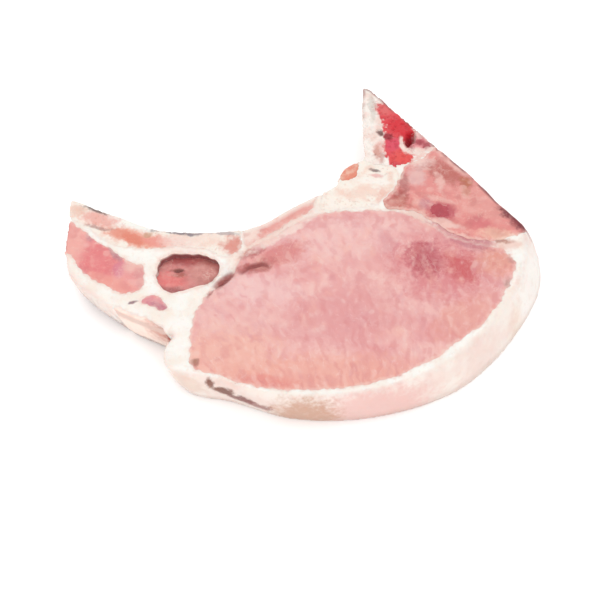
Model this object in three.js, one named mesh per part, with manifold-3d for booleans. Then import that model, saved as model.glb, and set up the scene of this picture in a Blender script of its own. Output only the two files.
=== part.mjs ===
// A raw pork rib chop lying on its flat underside, in millimetres, with +Z up.
// The chop is a slice across the loin: muscles and bones set in a matrix of white fat. Each of them is a
// solid that runs from the upper cut face to the lower one, along the slant at which the knife crossed the
// loin. The outlines below are drawn on the upper cut face, with +X from the rib's tip to the back fat.
import * as THREE from 'three';
import { mergeVertices } from 'three/addons/utils/BufferGeometryUtils.js';
import Module from 'manifold-3d';

const wasm = await Module();
wasm.setup();

// Driving dimensions
const THICKNESS = 14; // from cut face to cut face, at the middle of the loin
const TAPER = new THREE.Vector2(0.012, 0.006); // rise of the upper face for each millimetre along X and Y
const SLANT = new THREE.Vector2(5.5, 0.8); // how far the underside lies from the upper face
const SHEATH_GAP = 0.3; // clearance between a muscle or bone and the fat round it
const LOWER_EDGE = 1.2; // rounding of the edge that the chop rests on
const LOWER_EDGE_STEPS = 2;
const OUTLINE_STEP = 2.8; // spacing of the points along an outline
const RELIEF_CELL = 2.6; // grid on which the upper face rises and falls
const SWELL_REACH = 9; // how far inside its outline a muscle swells up to its crown
const WAVE = { rise: 0.25, lengthX: 57, lengthY: 69 }; // slow unevenness of the knife's cut
const SPARE = 6; // how far the cutting shapes reach past the chop, above and below
const WELD = 1e-4; // points closer than this are one

// Outline of the whole chop: each row is one smooth run, and two runs meet at a corner.
const CHOP_EDGE = [
  // saw cut through the backbone, from its tip to the tip of the back muscle
  [[25.2, 92.2], [46.5, 65.5]],
  [[46.5, 65.5], [57, 52.5], [66, 39.5], [74, 29.5]],
  // rim of the back fat, round the loin to the lobe at its lower end
  [[74, 29.5], [74.2, 25.6], [74.2, 19], [72.2, 10.6], [65.2, -2.6], [57.4, -13.6], [43.2, -26.8],
    [18, -36.2], [-7.5, -36.8], [-27.8, -30], [-36.6, -28.4], [-41.7, -25], [-43.2, -19], [-40, -13]],
  // outer edge of the flank
  [[-40, -13], [-49.4, -8.4], [-56.6, -4.8], [-61.6, -1.2], [-66.2, 2.6], [-70.6, 6.6], [-74.4, 10.8],
    [-76, 15.8], [-76.4, 22.6]],
  // cut end of the flank
  [[-76.4, 22.6], [-75.8, 42.4]],
  // hollow edge along the rib, up to the joint of the rib
  [[-75.8, 42.4], [-59, 34.6], [-45.7, 29.2], [-24.4, 28], [-13.7, 31], [1.7, 41.6], [12.7, 48.2]],
  [[12.7, 48.2], [13.3, 52.5], [16.5, 57], [22.3, 60]],
  // bare side of the backbone, and its blunt tip
  [[22.3, 60], [22, 75], [22.6, 93.5]],
  [[22.6, 93.5], [25.2, 92.2]],
];

// What is set in the fat. rise lifts a solid's upper face above the fat, and crown swells its middle further.
// Edges drawn past the chop's own edge end at it.
const SET_IN_FAT = [
  {
    name: 'loin_eye', tissue: 'loin', rise: 0.1, crown: 0.8,
    edge: [[[-32.8, -26.5], [-34.2, -14], [-31.2, -0.4], [-25, 9.3], [-17.4, 19.6], [-5, 28.4], [6.6, 36],
      [20, 37.4], [34, 36], [42.2, 30.6], [50, 25.6], [58, 22.6], [64.6, 21.2], [68, 18.2], [69, 13.4],
      [66.4, 5], [58.4, -7.8], [46, -18.8], [38.4, -24.6], [26, -30.6], [5, -33.6], [-12, -33.2],
      [-23, -29.6], [-29.6, -27.4]]],
  },
  {
    name: 'chine_bone', tissue: 'marrow', rise: 0.9, crown: 0.2,
    edge: [
      [[20, 100], [50, 66]],
      [[50, 66], [44.6, 64.2], [39.8, 59.6], [33.6, 56.6], [26.6, 58.2], [20, 61]],
      [[20, 61], [20, 100]],
    ],
  },
  {
    name: 'back_vein', tissue: 'vein', rise: 0.9, crown: 0.4,
    edge: [[[43.2, 38.2], [46.2, 39.2], [49.6, 37.2], [50.8, 34.2], [47.8, 32.9], [44.2, 34.9]]],
  },
  {
    name: 'chine_muscle', tissue: 'back', rise: 1, crown: 0.7,
    edge: [
      [[46.6, 64.6], [77, 36], [78, 30]],
      [[78, 30], [71.6, 27.2], [65, 24.9], [58, 25], [50.4, 27.8], [44, 32.2], [39.4, 36.8], [35, 38.1],
        [28, 38.7], [31.8, 45], [34.6, 51], [36.4, 55.6], [41, 58.8], [46.6, 64.6]],
    ],
  },
  {
    name: 'rib_joint', tissue: 'joint', rise: 0.3, crown: 0.6,
    edge: [[[14.4, 50.4], [18.6, 51.4], [20.4, 54.2], [19.4, 59], [14.6, 59.6], [11.4, 53.6]]],
  },
  {
    name: 'rib_head', tissue: 'bone', rise: 0.5, crown: 0.3,
    edge: [
      [[9, 49], [11, 56], [20, 61.6]],
      [[20, 61.6], [26.6, 57], [32.6, 55], [33, 50.4], [30.2, 45.2], [25.8, 40], [16, 38.9], [6.8, 38.3]],
      [[6.8, 38.3], [9, 49]],
    ],
  },
  {
    name: 'rib_muscle', tissue: 'back', rise: 0.2, crown: 0.3,
    edge: [
      [[-18.8, 29.6], [-8.6, 35.4], [2, 43.4], [6.4, 46.4]],
      [[6.4, 46.4], [4.8, 40], [0.6, 35.2], [-5.3, 30.4], [-11.6, 26.2], [-17.4, 21.6]],
      [[-17.4, 21.6], [-18.8, 29.6]],
    ],
  },
  {
    name: 'rib_bone', tissue: 'bone', rise: 0.8, crown: 0.3,
    edge: [
      [[-79, 45], [-59, 37.4], [-45, 31.4], [-24, 30.4], [-19.7, 30]],
      [[-19.7, 30], [-19.4, 23], [-21.6, 18.6], [-24.6, 17.4], [-29, 21], [-37, 22], [-46, 21.8], [-57.2, 22],
        [-69, 30], [-79, 36.8]],
      [[-79, 36.8], [-79, 45]],
    ],
  },
  {
    name: 'flank_muscle', tissue: 'flank', rise: 0.2, crown: 0.5,
    edge: [
      [[-79, 35.4], [-69.3, 27.9], [-63.4, 22.8], [-58.4, 18.4], [-54.2, 15.9], [-50.8, 14.8]],
      [[-50.8, 14.8], [-50.1, 9], [-50.7, 4.4], [-55.6, 3.4], [-61, 5.4], [-67.2, 9.9], [-72.6, 16],
        [-79, 24.4]],
      [[-79, 24.4], [-79, 35.4]],
    ],
  },
  {
    name: 'rib_eye_muscle', tissue: 'dark', rise: -1.5, crown: 0.5,
    edge: [[[-46.8, 11], [-45.8, 16.5], [-42, 19.2], [-36, 19.6], [-30.6, 18.6], [-25.8, 16], [-27.2, 11.2],
      [-31.4, 6.4], [-38, 3.6], [-44.6, 4.8]]],
  },
  {
    name: 'flank_sliver', tissue: 'flank', rise: 0.1, crown: 0.3,
    edge: [[[-51, 0.2], [-48.2, 2.3], [-44.8, 2.2], [-43, -0.2], [-40.9, -3.2], [-42.4, -4.3],
      [-47.2, -2.2]]],
  },
  {
    name: 'flank_sheet', tissue: 'back', rise: -0.2, crown: 0,
    edge: [
      [[-61.4, -5.6], [-50, -13], [-43.4, -15.4]],
      [[-43.4, -15.4], [-41.6, -11.2], [-47, -7.8], [-53.4, -4.7], [-58.6, -1.4]],
      [[-58.6, -1.4], [-61.4, -5.6]],
    ],
  },
];

// Openings in the upper face: a split where the loin has drawn away from the rib, and a vessel in the bone.
const SPLIT = { from: [-28.4, 7.6], to: [-21.8, 14.2], width: 2, depth: 2.4 };
const VESSEL = { at: [37.6, 68.8], radii: [1.8, 3.8, 4.4], above: 1, turn: -0.2, sides: 14, rings: 8 };

const COLOURS = {
  fat: { color: '#f7ece1', roughness: 0.42 },
  loin: { color: '#eba9a4', roughness: 0.4 },
  back: { color: '#dd8680', roughness: 0.42 },
  flank: { color: '#e68f8c', roughness: 0.42 },
  dark: { color: '#c2585a', roughness: 0.4 },
  vein: { color: '#b03340', roughness: 0.38 },
  marrow: { color: '#d43a3e', roughness: 0.5 },
  bone: { color: '#efd9c8', roughness: 0.48 },
  joint: { color: '#dd7a60', roughness: 0.45 },
};

// A closed outline as points, counter-clockwise, from runs that are each one smooth curve.
function outlineOf(runs) {
  const closed = runs.length === 1;
  const points = runs.flatMap((run) => {
    const places = run.map(([x, y]) => new THREE.Vector3(x, y, 0));
    const curve = new THREE.CatmullRomCurve3(places, closed, 'centripetal');
    const steps = Math.max(1, Math.round(curve.getLength() / OUTLINE_STEP));
    return curve.getSpacedPoints(steps).slice(0, -1);
  });
  const flat = points.map((p) => new THREE.Vector2(p.x, p.y));
  return THREE.ShapeUtils.isClockWise(flat) ? flat.reverse() : flat;
}

// The outline moved outwards by a distance, along the normal at each point.
function grown(outline, distance) {
  return outline.map((point, i) => {
    const before = outline.at(i - 1);
    const after = outline[(i + 1) % outline.length];
    const along = after.clone().sub(before).normalize();
    return new THREE.Vector2(along.y, -along.x).multiplyScalar(distance).add(point);
  });
}

// How far a place is from the nearest stretch of an outline.
function distanceTo(outline, x, y) {
  const place = new THREE.Vector3(x, y, 0);
  const nearest = new THREE.Vector3();
  const stretch = new THREE.Line3();
  const distances = outline.map((point, i) => {
    const next = outline[(i + 1) % outline.length];
    stretch.start.set(point.x, point.y, 0);
    stretch.end.set(next.x, next.y, 0);
    return stretch.closestPointToPoint(place, true, nearest).distanceTo(place);
  });
  return Math.min(...distances);
}

// Height of the plain cut face.
function cutFace(x, y) {
  const wave = Math.sin((2 * Math.PI * x) / WAVE.lengthX) * Math.cos((2 * Math.PI * y) / WAVE.lengthY);
  return THICKNESS + TAPER.x * x + TAPER.y * y + WAVE.rise * wave;
}

// Depth of the split at a place, fading across its width.
function splitDepth(x, y) {
  const from = new THREE.Vector3(...SPLIT.from, 0);
  const to = new THREE.Vector3(...SPLIT.to, 0);
  const place = new THREE.Vector3(x, y, 0);
  const nearest = new THREE.Line3(from, to).closestPointToPoint(place, true, new THREE.Vector3());
  const away = nearest.distanceTo(place);
  return SPLIT.depth * Math.exp(-((away / SPLIT.width) ** 2));
}

// Upper face of a solid that swells inside its outline.
function swollenFace(outline, rise, crown) {
  return (x, y) => {
    const swell = 1 - Math.exp(-distanceTo(outline, x, y) / SWELL_REACH);
    return cutFace(x, y) + rise + crown * swell - splitDepth(x, y);
  };
}

// A closed three.js geometry as a solid that can be cut and joined.
function solidOf(geometry) {
  geometry.deleteAttribute('normal');
  geometry.deleteAttribute('uv');
  const merged = mergeVertices(geometry, WELD);
  return new wasm.Manifold(new wasm.Mesh({
    numProp: 3,
    vertProperties: new Float32Array(merged.attributes.position.array),
    triVerts: new Uint32Array(merged.index.array),
  }));
}

// Leans a shape over: its section at the upper face stays in place and the one at the floor moves by SLANT.
function slanted(geometry) {
  const lean = new THREE.Matrix4().makeShear(0, 0, 0, 0, -SLANT.x / THICKNESS, -SLANT.y / THICKNESS);
  const back = new THREE.Matrix4().makeTranslation(SLANT.x, SLANT.y, 0);
  return geometry.applyMatrix4(back.multiply(lean));
}

// The whole slice, from the floor to well above the cut face, with the lower edge rounded.
function slice(outline) {
  const geometry = new THREE.ExtrudeGeometry(new THREE.Shape(outline), {
    depth: THICKNESS + SPARE,
    steps: 1,
    bevelThickness: LOWER_EDGE,
    bevelSize: LOWER_EDGE,
    bevelOffset: -LOWER_EDGE,
    bevelSegments: LOWER_EDGE_STEPS,
  });
  return solidOf(slanted(geometry.translate(0, 0, LOWER_EDGE)));
}

// A plug that follows an outline down through the slice, past both of its faces.
function plug(outline) {
  const geometry = new THREE.ExtrudeGeometry(new THREE.Shape(outline), {
    depth: THICKNESS + 2 * SPARE,
    steps: 1,
    bevelEnabled: false,
  });
  return solidOf(slanted(geometry.translate(0, 0, -SPARE)));
}

// Everything under an uneven face, over the rectangle that an outline and its slant take.
function underFace(outline, face) {
  const box = new THREE.Box2().setFromPoints(outline).expandByScalar(SPARE);
  const size = box.getSize(new THREE.Vector2());
  const middle = box.getCenter(new THREE.Vector2());
  const cells = size.clone().divideScalar(RELIEF_CELL).round();
  const geometry = new THREE.BoxGeometry(size.x, size.y, 1, cells.x, cells.y, 1);
  geometry.translate(middle.x, middle.y, 0);
  const place = geometry.attributes.position;
  for (let i = 0; i < place.count; i++) {
    const isUpper = place.getZ(i) > 0;
    place.setZ(i, isUpper ? face(place.getX(i), place.getY(i)) : -SPARE);
  }
  return solidOf(geometry);
}

// The blood vessel's opening, an egg sunk in the cut face.
function vesselOpening() {
  const { at: [x, y], radii, above, turn, sides, rings } = VESSEL;
  const geometry = new THREE.SphereGeometry(1, sides, rings).scale(...radii).rotateZ(turn);
  return solidOf(geometry.translate(x, y, cutFace(x, y) + above));
}

// The largest single body of a solid, without the scraps that a cut leaves.
function largestBody(solid) {
  return solid.decompose().reduce((most, body) => (body.volume() > most.volume() ? body : most));
}

// A named mesh from a solid.
function meshOf(solid, name, tissue) {
  const { vertProperties, triVerts } = solid.getMesh();
  const geometry = new THREE.BufferGeometry();
  geometry.setAttribute('position', new THREE.BufferAttribute(vertProperties, 3));
  geometry.setIndex(new THREE.BufferAttribute(triVerts, 1));
  geometry.computeVertexNormals();
  const mesh = new THREE.Mesh(geometry, new THREE.MeshStandardMaterial({ ...COLOURS[tissue], metalness: 0 }));
  mesh.name = name;
  return mesh;
}

const chopOutline = outlineOf(CHOP_EDGE);
const wholeSlice = slice(chopOutline);
const pieces = new THREE.Group();

// Each muscle and bone takes its place in the slice, clear of those before it.
let taken = null;
for (const { name, tissue, edge, rise, crown } of SET_IN_FAT) {
  const outline = outlineOf(edge);
  const body = underFace(outline, swollenFace(outline, rise, crown));
  let solid = wholeSlice.intersect(plug(outline)).intersect(body);
  if (name === 'chine_bone') solid = solid.subtract(vesselOpening());
  if (taken) solid = solid.subtract(taken);
  pieces.add(meshOf(largestBody(solid), name, tissue));
  const room = plug(grown(outline, SHEATH_GAP));
  taken = taken ? taken.add(room) : room;
}

// The fat fills what is left of the slice.
const fatFace = (x, y) => cutFace(x, y) - splitDepth(x, y);
const fat = wholeSlice.intersect(underFace(chopOutline, fatFace)).subtract(taken);
pieces.add(meshOf(largestBody(fat), 'fat', 'fat'));

// The origin is at the middle of the underside.
const box = new THREE.Box3().setFromObject(pieces);
const middle = box.getCenter(new THREE.Vector3());
pieces.position.set(-middle.x, -middle.y, -box.min.z);

const chop = new THREE.Group();
chop.add(pieces);
export default chop;
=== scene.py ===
"""Dresses a raw pork rib chop: muscles, bones and fat with moist, grained surfaces, on a pale floor."""
import math
from collections import namedtuple
from functools import lru_cache

import bmesh
import bpy
import numpy as np
from bpy.props import FloatProperty, FloatVectorProperty, IntProperty, PointerProperty
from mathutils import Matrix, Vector
from mathutils.bvhtree import BVHTree
from mathutils.geometry import delaunay_2d_cdt
from mathutils.kdtree import KDTree


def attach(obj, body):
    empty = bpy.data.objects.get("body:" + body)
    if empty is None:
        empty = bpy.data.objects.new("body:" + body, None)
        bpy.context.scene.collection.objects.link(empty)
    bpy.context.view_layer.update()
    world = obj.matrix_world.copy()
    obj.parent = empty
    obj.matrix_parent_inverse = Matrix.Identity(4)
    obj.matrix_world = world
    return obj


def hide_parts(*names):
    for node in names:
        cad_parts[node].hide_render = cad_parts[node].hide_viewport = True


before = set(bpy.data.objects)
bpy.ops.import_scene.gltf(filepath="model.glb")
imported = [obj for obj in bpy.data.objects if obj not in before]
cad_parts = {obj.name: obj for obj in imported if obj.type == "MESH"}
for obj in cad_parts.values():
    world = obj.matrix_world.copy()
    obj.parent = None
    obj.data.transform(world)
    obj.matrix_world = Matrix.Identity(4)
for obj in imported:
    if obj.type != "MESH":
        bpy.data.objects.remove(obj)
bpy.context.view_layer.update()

bl_info = {
    "name": "Pork Rib Chop",
    "version": (1, 0, 0),
    "blender": (4, 5, 0),
    "location": "3D View > Sidebar > Chop",
    "description": "Builds the look of a raw pork rib chop around its solids",
    "category": "Object",
}

MM = 0.001
BODY = "root"

# Heights, in millimetres: where the solids' outlines are read, the level that the plan is drawn at, where
# rays start from, and the lowest that an upper face can be
LOW_SECTION = 4.0
HIGH_SECTION = 10.0
PLAN_LEVEL = 14.0
ABOVE = 30.0
LOWEST_FACE = 8.0

SHARP_ANGLE = math.radians(55)

# The stage is lit so brightly that a surface looks lighter than it is. This share of its look is its own
# colour.
OWN_SHARE = 0.66

# A patch of colour: where its middle is, how far it reaches along and across its own length, in millimetres,
# how its length is turned, in degrees, and how strong it is in the middle. A third number in its place or its
# reach is along the height.
Stain = namedtuple("Stain", "colour at reach turn strength")

# How far up and down stains reach that have no height of their own, in millimetres: most of them, those on
# the rim, the painted shade at its foot, those in the marrow, and those that go through the backbone
STAIN_DEPTH = 9.0
RIM_DEPTH = 16.0
FOOT_DEPTH = 14.0
MARROW_DEPTH = 30.0
THROUGH = 40.0

# Heights of the middles of such stains, in millimetres, on the rim and of the painted shade at its foot
RIM_LEVEL = 6.0
FOOT_LEVEL = 0.0

# A node's surface, in millimetres: spacing of its points, rounds of smoothing, depth of the dip at its seams,
# rounding of its free upper edge, rows in its wall, height and size of its grain, and depth and size of its
# pits
Surface = namedtuple("Surface", "grid rounds seam rim rows grain grain_size pit pit_size")

# A cleft in the upper face, in millimetres: its path, its half width and its depth.
Cleft = namedtuple("Cleft", "path width depth")

SURFACES = {
    "fat": Surface(0.45, 14, 0.08, 1.8, 16, 0.14, 1.9, 0.0, 1.0),
    "loin_eye": Surface(0.45, 30, 0.08, 1.0, 3, 0.12, 1.6, 0.0, 1.0),
    "chine_muscle": Surface(0.40, 12, 0.08, 0.5, 12, 0.18, 1.7, 0.0, 1.0),
    "rib_muscle": Surface(0.36, 8, 0.14, 0.9, 10, 0.16, 1.5, 0.0, 1.0),
    "back_vein": Surface(0.30, 6, 0.10, 1.0, 3, 0.12, 1.0, 0.0, 1.0),
    "flank_muscle": Surface(0.40, 12, 0.14, 0.8, 12, 0.18, 1.6, 0.0, 1.0),
    "flank_sliver": Surface(0.30, 6, 0.14, 1.0, 3, 0.14, 1.2, 0.0, 1.0),
    "flank_sheet": Surface(0.30, 6, 0.10, 1.0, 12, 0.14, 1.3, 0.0, 1.0),
    "rib_eye_muscle": Surface(0.36, 12, 0.0, 1.0, 4, 0.20, 1.6, 0.0, 1.0),
    "chine_bone": Surface(0.34, 2, 0.12, 0.3, 14, 0.22, 1.0, 0.35, 1.2),
    "rib_head": Surface(0.36, 6, 0.12, 0.9, 12, 0.16, 1.2, 0.0, 1.0),
    "rib_bone": Surface(0.36, 6, 0.14, 0.6, 12, 0.20, 1.2, 0.16, 1.3),
    "rib_joint": Surface(0.30, 6, 0.30, 1.0, 10, 0.24, 1.0, 0.0, 1.0),
}

CLEFTS = [
    Cleft([(-29.6, -22.8), (-27.6, -20.6), (-25.4, -18.2), (-23.0, -15.6)], 1.8, 0.9),
    Cleft([(-31.6, -27.6), (-30.4, -24.6), (-29.2, -22.4)], 0.6, 0.5),
    Cleft([(-21.2, -17.6), (-18.0, -15.0), (-13.6, -13.5), (-10.2, -15.6)], 1.2, 0.8),
    Cleft([(-42.8, -14.6), (-41.2, -14.8), (-39.6, -14.6)], 0.7, 0.7),
]
# How far the edges of the clefts waver, in millimetres
CLEFT_WANDER = 0.9

# How far from a seam a face bends to meet its neighbour's face halfway, and how far inside the outline its
# own height is read, in millimetres
LEVEL_REACH = 5.0
LEVEL_INSIDE = 0.9

# Share of the way down the outer wall where the relief starts to fade
RELIEF_FADE = 0.75

# The dark oval muscle lies in a hollow of the fat. Its face falls towards the backbone, by this much for each
# millimetre, the fat's edge above it is rounded, in millimetres, and the hollow's wall is painted dark
# red-brown:
# partly the sheath of muscle that lines it, partly painted shade.
SUNKEN = "rib_eye_muscle"
SUNKEN_FALL = 0.11
HOLLOW_ROUND = 0.4
HOLLOW_SHEATH_AND_SHADE = Stain("96484a", (-37.6, -9.0), (24.0, 13.0), 0, 0.95)

# Pieces whose colours run into each other, with no fat at the seam between them
JOINED = ("chine_muscle", "back_vein")

# The loin's fibre bundles point away from a place off the chop, at about this distance from it.
FIBRE_CENTRE = (45.0, -170.0)
FIBRE_DISTANCE = 140.0

LOIN_STAINS = [
    Stain("f6bbaa", (-25.0, -51.0), (24.0, 16.0), 0, 0.8),
    Stain("f0ab9b", (4.0, -58.0), (44.0, 11.0), 3, 0.8),
    Stain("e49b9b", (13.0, -35.0), (26.0, 14.0), 20, 0.65),
    Stain("f4c6c4", (-14.0, -24.0), (18.0, 9.0), -10, 0.7),
    Stain("f4c2be", (10.0, -2.5), (30.0, 12.0), 10, 0.75),
    Stain("dd8387", (42.0, -16.0), (21.0, 16.0), -30, 0.8),
    Stain("ba4654", (38.8, -12.6), (8.4, 9.8), 10, 0.85),
    Stain("cf5558", (50.5, -16.2), (7.0, 9.0), 30, 0.85),
    Stain("cf7f88", (27.0, -5.0), (3.0, 8.0), 20, 0.4),
    Stain("e79a88", (61.5, -13.2), (10.0, 9.0), 0, 0.85),
    Stain("e59488", (50.0, -36.0), (16.0, 9.0), 40, 0.6),
    Stain("c0707c", (53.0, -5.2), (10.0, 4.4), -18, 0.7),
    Stain("dc827d", (-8.0, -9.8), (13.0, 5.6), 26, 0.85),
    Stain("b2554f", (-16.0, -14.4), (8.5, 3.4), 14, 0.85),
    Stain("b4504c", (-16.4, -8.3), (6.0, 2.4), 27, 0.9),
    Stain("fbe3d9", (-7.4, -1.2), (18.0, 2.2), 37, 0.8),
    Stain("e2736c", (-11.0, -59.4), (13.0, 2.8), -5, 0.45),
    Stain("94583c", (-33.7, -52.4), (1.5, 2.2), 0, 0.75),
    Stain("a8807a", (65.2, -22.8), (2.6, 3.4), 10, 0.7),
    Stain("c09088", (66.6, -11.2), (2.4, 3.4), 0, 0.6),
]
FAT_STAINS_AND_SHADOW = [
    Stain("f2cdc2", (38.0, 6.2), (9.0, 6.5), -35, 0.9),
    Stain("da9698", (48.0, 0.0), (11.0, 7.0), -32, 0.95),
    Stain("cd8288", (56.0, -3.6), (10.0, 7.0), -14, 0.95),
    Stain("f3cabc", (66.0, -5.8), (7.0, 3.4), 0, 0.7),
    # Painted shadow: a brown line on the fat under the lip of the back muscle
    Stain("b0705f", (62.4, -4.2), (6.5, 1.5), -3, 0.75),
    Stain("f3cfc2", (-16.0, -9.0), (12.0, 5.0), 30, 0.6),
    Stain("f6d6ca", (-6.0, 0.5), (20.0, 6.0), 36, 0.8),
    Stain("b4504c", (-16.4, -8.1), (5.4, 2.2), 27, 0.9),
    Stain("f6d8cc", (-40.0, -6.6), (14.0, 2.0), 0, 0.4),
    Stain("8a5c68", (-53.8, -28.3), (1.9, 1.1), 5, 0.85),
    Stain("b8706a", (-26.2, -18.8), (6.0, 2.0), 48, 0.65),
]
RIM_STAINS_LIGHT_AND_SHADE = [
    # Painted light: the wall at the rim's right end made paler, as if more brightly lit
    Stain("fffaf4", (74.0, -18.0), (14.0, 22.0), 0, 0.8),
    Stain("f1c2bb", (22.0, -65.0, 5.0), (26.0, 12.0, 15.0), 8, 0.85),
    Stain("d3a68e", (0.0, -67.0, 4.0), (15.0, 10.0, 12.5), 0, 0.9),
    # A brown crack where the lobe meets the rim, and from it a dark line of painted shade along the lower
    # left of the wall
    Stain("803c20", (-29.0, -58.8, 12.0), (2.6, 2.6, 3.6), -20, 0.9),
    Stain("7a3a22", (-25.2, -59.2, 8.6), (5.0, 3.6, 2.6), -19, 0.9),
    Stain("803a34", (-19.5, -60.8, 6.6), (6.4, 3.6, 2.8), -17, 0.9),
    Stain("94544e", (-13.5, -62.4, 5.4), (6.4, 3.6, 2.6), -15, 0.8),
    # Painted shade along the lower edge of the lobe
    Stain("e6c8b4", (-36.0, -56.8, 9.0), (8.0, 4.0, 6.0), -10, 0.5),
    Stain("f6d9b8", (68.5, -33.5), (5.0, 8.0), 0, 0.25),
]
# Painted shade at the foot of the outer wall, standing in for the shadow under the tail and the flank sheet
FOOT_PAINTED_SHADE = [
    Stain("8c7276", (-64.0, -22.4), (19.0, 6.0), -43, 0.6),
    Stain("a08884", (-49.0, -34.0), (12.0, 5.0), -24, 0.6),
]
BACK_STAINS = [
    Stain("e9a198", (58.0, 10.0), (16.0, 9.0), -40, 0.7),
    Stain("f4d3cb", (40.4, 28.6), (7.0, 4.6), -20, 0.85),
    Stain("e6bcb8", (37.4, 22.4), (4.6, 6.0), 10, 0.75),
    Stain("ba706c", (33.2, 20.6), (3.0, 7.6), 12, 0.85),
    Stain("a83e36", (31.6, 13.8), (4.2, 5.4), 10, 0.85),
    Stain("c87468", (30.0, 10.4), (8.6, 4.4), 6, 0.9),
    Stain("bf6258", (47.6, 24.4), (11.0, 7.0), -42, 0.9),
    Stain("f4c4ba", (50.4, 28.6), (13.0, 2.2), -51, 0.75),
    Stain("f1bdb3", (45.4, 20.0), (2.0, 8.4), 6, 0.85),
    Stain("b8653e", (53.4, 20.4), (2.6, 3.4), 20, 0.8),
    Stain("c4775a", (53.6, 16.0), (2.0, 3.4), 0, 0.6),
    Stain("f0b2a6", (38.2, 9.8), (2.2, 6.6), 20, 0.85),
    Stain("f0b8ae", (44.6, 12.4), (7.6, 2.0), -20, 0.8),
    Stain("c98a92", (40.0, 10.6), (3.6, 3.2), 0, 0.7),
    Stain("c2505c", (45.0, 7.2), (7.0, 5.4), -30, 0.95),
    Stain("f6cfc4", (46.0, 2.2), (9.0, 2.0), -18, 0.8),
    Stain("da7074", (57.1, 2.1), (6.4, 3.6), -15, 0.8),
    Stain("f7c4ae", (63.5, -2.4), (11.0, 3.2), -8, 0.9),
    Stain("7a0020", (69.6, 3.8), (10.0, 4.4), -48, 1.0),
    Stain("f8ece4", (76.0, 0.0, 7.5), (9.0, 7.0, 8.5), 0, 0.95),
]
RIB_MUSCLE_STAINS = [
    Stain("e58e86", (-13.0, 1.0), (6.0, 2.6), 35, 0.6),
    Stain("e89c92", (-3.0, 9.0), (9.0, 2.6), 37, 0.6),
    Stain("f6d6ca", (4.0, 14.0), (5.0, 4.0), 37, 0.7),
    Stain("fbe9de", (-19.0, -1.4), (6.0, 6.0), 0, 0.8),
]
FLANK_STAINS = [
    Stain("e87779", (-66.0, -11.5), (10.0, 11.0), 0, 0.8),
    Stain("f5b4a8", (-76.0, -4.5), (7.0, 12.0), 0, 0.75),
    Stain("bc8890", (-69.6, -1.4), (2.2, 4.0), 20, 0.6),
    Stain("a07a86", (-61.5, -8.6), (2.2, 5.4), 22, 0.6),
    Stain("d98098", (-59.4, -15.4), (2.8, 5.4), 5, 0.6),
    Stain("f3a698", (-61.5, -21.0), (12.0, 4.0), -25, 0.7),
    Stain("f8d4c8", (-55.6, -12.4), (4.8, 3.0), -32, 0.75),
    Stain("f0b4aa", (-54.6, -14.0), (6.0, 4.4), 0, 0.8),
    Stain("dc9694", (-52.4, -19.5), (2.2, 8.0), 0, 0.6),
    Stain("dd8c97", (-47.4, -28.6), (9.0, 3.4), -14, 0.75),
    Stain("b4607a", (-45.6, -31.0), (6.0, 2.0), -28, 0.7),
]
DARK_MUSCLE_STAINS_AND_SHADE = [
    # Painted shade: the top of the sunken muscle darker, under the overhanging edge of the fat
    Stain("bc5656", (-37.0, -9.4), (21.0, 4.6), -3, 0.9),
    Stain("ea7470", (-43.0, -19.4), (8.4, 6.5), 0, 0.85),
    Stain("d48e84", (-32.6, -15.8), (7.0, 9.0), 0, 0.75),
    Stain("a4503f", (-40.4, -16.6), (3.6, 1.8), 0, 0.75),
    # Painted shadow: a dark line along the sunken muscle's lower edge
    Stain("944648", (-42.0, -23.6), (9.0, 2.2), -8, 0.75),
    # The small cleft, dark partly in its own flesh, partly as painted shade
    Stain("8c4a40", (-41.2, -14.4), (2.6, 1.3), 0, 0.85),
]
SHEET_STAINS_AND_SHADE = [
    # Painted shade: a grey-mauve line at the foot of the sheet, standing in for its contact shadow
    Stain("a88e88", (-50.0, -34.0, 0.0), (13.0, 5.0, 4.4), -25, 0.8),
    Stain("dc9888", (-44.2, -37.2, 11.5), (7.0, 5.4, 7.5), 0, 0.85),
    Stain("c05a4a", (-41.8, -38.6, 11.0), (3.4, 3.6, 5.0), 0, 0.9),
]
# The recipe of a muscle's finish: the nodes that it covers, its main colour, its stains and any painted
# shade, its paler and deeper bundles and their size, in millimetres, and the colour and width of its free
# upper edge
Muscle = namedtuple("Muscle", "nodes colour stains pale deep bundle edge edge_width")
MUSCLES = {
    "back_flesh": Muscle(["chine_muscle"], "back", BACK_STAINS, "f6c6ba", "c26a66", 2.2, "76242c", 1.4),
    "rib_strip_flesh": Muscle(["rib_muscle"], "rib", RIB_MUSCLE_STAINS, "f8d2c6", "dc8f86", 1.8,
                              "fbeee4", 3.0),
    "vein_flesh": Muscle(["back_vein"], "vein", [], "c45660", "a43444", 1.4, "b74a55", 1.0),
    "flank_flesh": Muscle(["flank_muscle", "flank_sliver"], "flank", FLANK_STAINS, "f8c8bc", "d77478", 2.2,
                          "d08880", 1.0),
    "dark_flesh": Muscle(["rib_eye_muscle"], "dark", DARK_MUSCLE_STAINS_AND_SHADE, "eeb0a6", "a85a58", 1.8, "a85a58", 1.0),
    "sheet_flesh": Muscle(["flank_sheet"], "sheet", SHEET_STAINS_AND_SHADE, "fbeadf", "f0c8ba", 1.6, "e8c8bc", 1.0),
}
# The opening of a blood vessel in the backbone
VESSEL = Stain("e8545c", (36.2, 40.6), (5.0, 9.0), 8, 1.0)
# The saw cut along the backbone, where its edge is dark
SAW_CUT = Stain("8a3f3a", (47.0, 32.0), (80.0, 12.0), -51, 0.7)
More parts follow.
